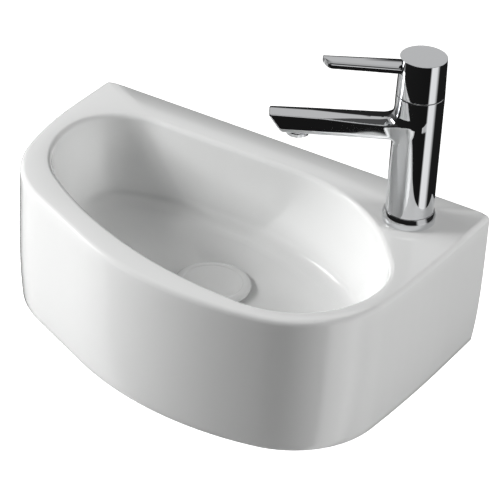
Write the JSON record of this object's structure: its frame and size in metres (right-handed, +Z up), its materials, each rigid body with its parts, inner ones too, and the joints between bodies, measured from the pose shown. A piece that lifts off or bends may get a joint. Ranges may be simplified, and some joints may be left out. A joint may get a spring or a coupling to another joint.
{
  "type": "washbasin",
  "caption": "Wall-hung cloakroom washbasin in white glazed ceramic, with a chromed single-lever mixer tap on a side deck and a push-button waste.",
  "frame": {"origin": "midway between the two wall bolt holes, on the wall face", "axes": "+X runs along the wall to the right, +Y points into the wall and +Z points up"},
  "size_m": [0.421, 0.28, 0.346],
  "materials": {
    "glazed_ceramic": "glossy white glaze",
    "chrome": "polished chrome plating on brass",
    "brass": "machined",
    "steel": "plain stainless",
    "plastic": "moulded acetal",
    "disc_ceramic": "lapped flat",
    "rubber": "matte"
  },
  "bodies": {
    "basin": {"basin_body": "glazed_ceramic", "tap_body": "chrome", "trim_ring": "chrome", "trim_seal": "rubber", "cartridge_body": "plastic", "cartridge_nut": "brass", "fixed_disc": "disc_ceramic", "port_seals": "rubber", "aerator_ring": "chrome", "aerator_insert": "plastic", "aerator_washer": "rubber", "fixing_stud": "brass", "stud_gasket": "rubber", "stud_washer": "steel", "stud_nut": "brass", "click_housing": "plastic", "click_spring": "steel", "waste_body": "chrome", "flange_gasket": "rubber", "cone_gasket": "rubber", "slip_washer": "plastic", "back_nut": "chrome"},
    "handle": {"handle_cap": "chrome", "cap_disc": "chrome", "cap_insert": "plastic", "cartridge_turret": "plastic", "stem_pin": "steel"},
    "lever": {"lever": "chrome", "lever_stem": "steel", "lever_screw": "steel"},
    "disc": {"disc_driver": "plastic", "moving_disc": "disc_ceramic"},
    "plug": {"waste_cover": "glazed_ceramic", "plug_carrier": "brass", "plug_seal": "rubber"}
  },
  "joints": [
    {"name": "handle_turn", "type": "hinge", "parent": "basin", "child": "handle", "pos_m": [0.152, -0.05, 0.175], "axis": [0, 0, 1], "range_deg": [-45, 45]},
    {"name": "lever_lift", "type": "hinge", "parent": "handle", "child": "lever", "pos_m": [0.152, -0.05, 0.175], "axis": [-0.5, 0.866, 0], "range_deg": [0, 18]},
    {"name": "disc_slide", "type": "slide", "parent": "handle", "child": "disc", "axis": [-0.866, -0.5, 0], "range_m": [0, 0.00525]},
    {"name": "plug_press", "type": "slide", "parent": "basin", "child": "plug", "axis": [0, 0, 1], "range_m": [-0.001, 0.008], "deforming": ["click_spring"]}
  ],
  "couplings": [
    {"joint": "disc_slide", "follows": "lever_lift", "m_per_rad": 0.01671}
  ]
}
